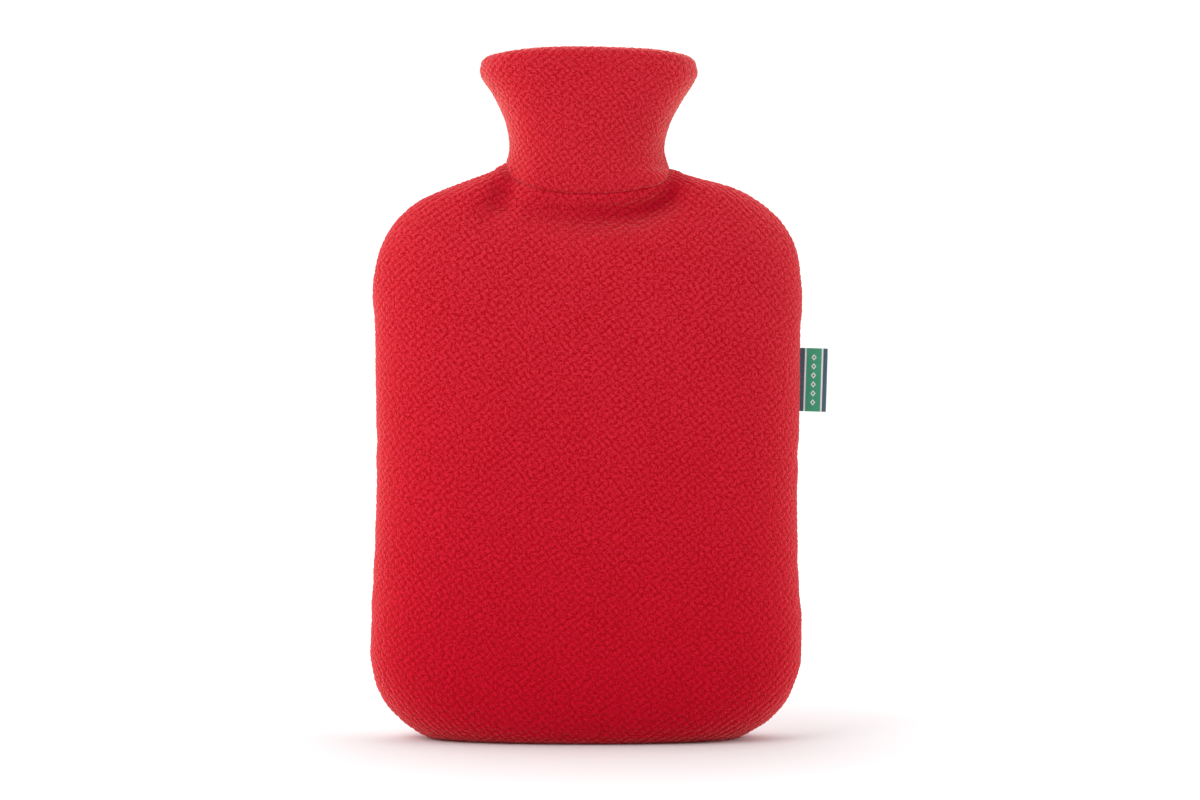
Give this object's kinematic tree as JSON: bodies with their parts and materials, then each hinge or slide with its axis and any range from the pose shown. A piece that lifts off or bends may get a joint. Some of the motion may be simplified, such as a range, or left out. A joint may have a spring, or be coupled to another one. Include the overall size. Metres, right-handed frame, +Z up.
{
  "type": "hot water bottle cover",
  "caption": "Stand-up fleece cover for a hot water bottle: a hollow two-panel pouch with a flared, doubled collar and a folded ribbon label in one side seam.",
  "frame": {"origin": "middle of the flat base that the cover stands on", "axes": "+Z up to the collar's rim; -Y out of the front panel; +X to the side seam that holds the label"},
  "size_m": [0.2236, 0.0652, 0.3341],
  "materials": {
    "fleece": "nubby red polyester fleece, matt with a soft pale sheen at its edges",
    "ribbon": "flat woven polyester ribbon, dark slate with a plain green band"
  },
  "bodies": {
    "root": {"front_panel": "fleece", "back_panel": "fleece", "collar": "fleece", "side_label": "ribbon"}
  },
  "joints": []
}
